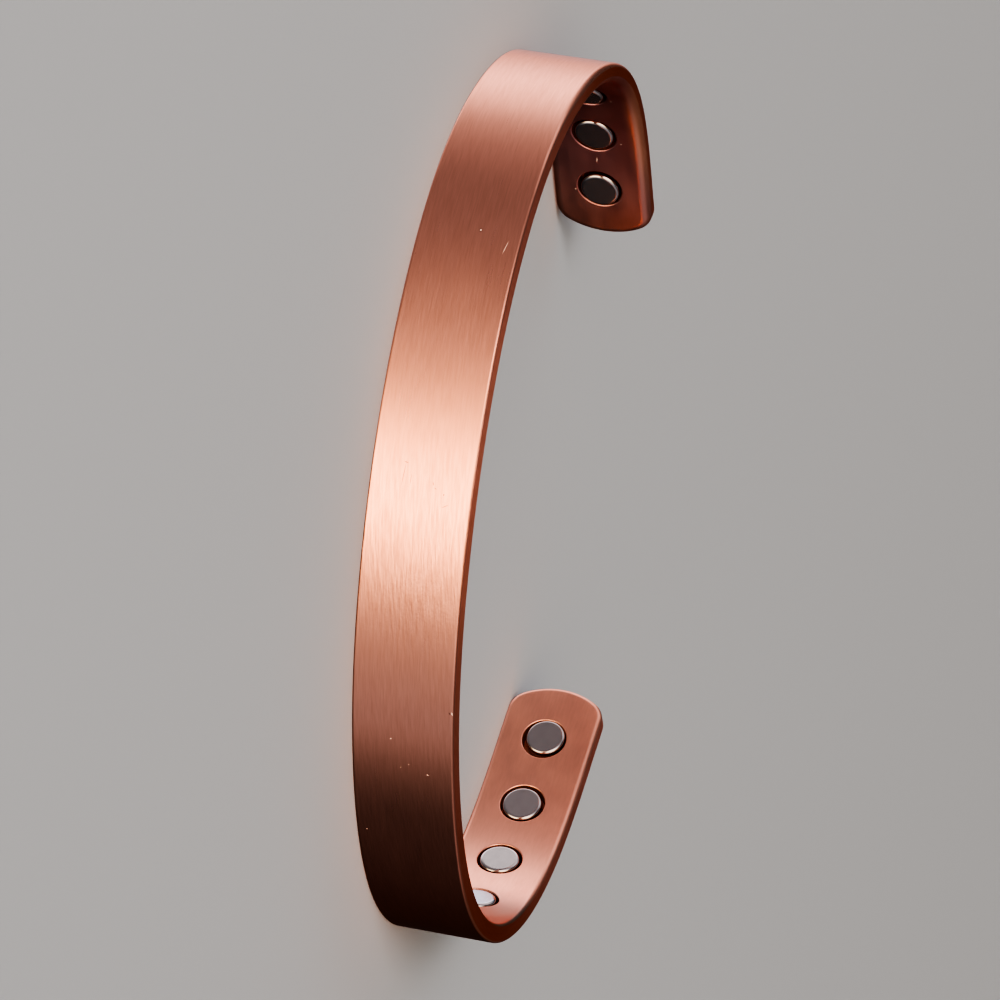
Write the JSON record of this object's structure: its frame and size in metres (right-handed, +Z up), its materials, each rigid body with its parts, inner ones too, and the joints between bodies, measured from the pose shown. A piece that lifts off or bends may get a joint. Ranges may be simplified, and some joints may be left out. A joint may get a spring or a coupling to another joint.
{
  "type": "magnetic bracelet",
  "caption": "Open copper cuff bracelet, a flat band bent to an oval, with round magnets set into the inside of both ends.",
  "frame": {"origin": "bottom centre of the bounding box: under the middle of the plan, on the surface that the cuff lies on", "axes": "+Z is up along the axis of the wrist opening, from the edge that the cuff lies on; +X runs along its longest extent, from the left end to the right end; +Y points out through the mouth between the tips"},
  "size_m": [0.0752, 0.0534, 0.0086],
  "materials": {
    "copper": "bare copper, brushed along the band outside and smooth satin inside",
    "magnet": "satin nickel plating with a bright rounded rim"
  },
  "bodies": {
    "root": {"band": "copper", "magnet_left_1": "magnet", "magnet_left_2": "magnet", "magnet_left_3": "magnet", "magnet_left_4": "magnet", "magnet_right_1": "magnet", "magnet_right_2": "magnet", "magnet_right_3": "magnet", "magnet_right_4": "magnet"}
  },
  "joints": []
}
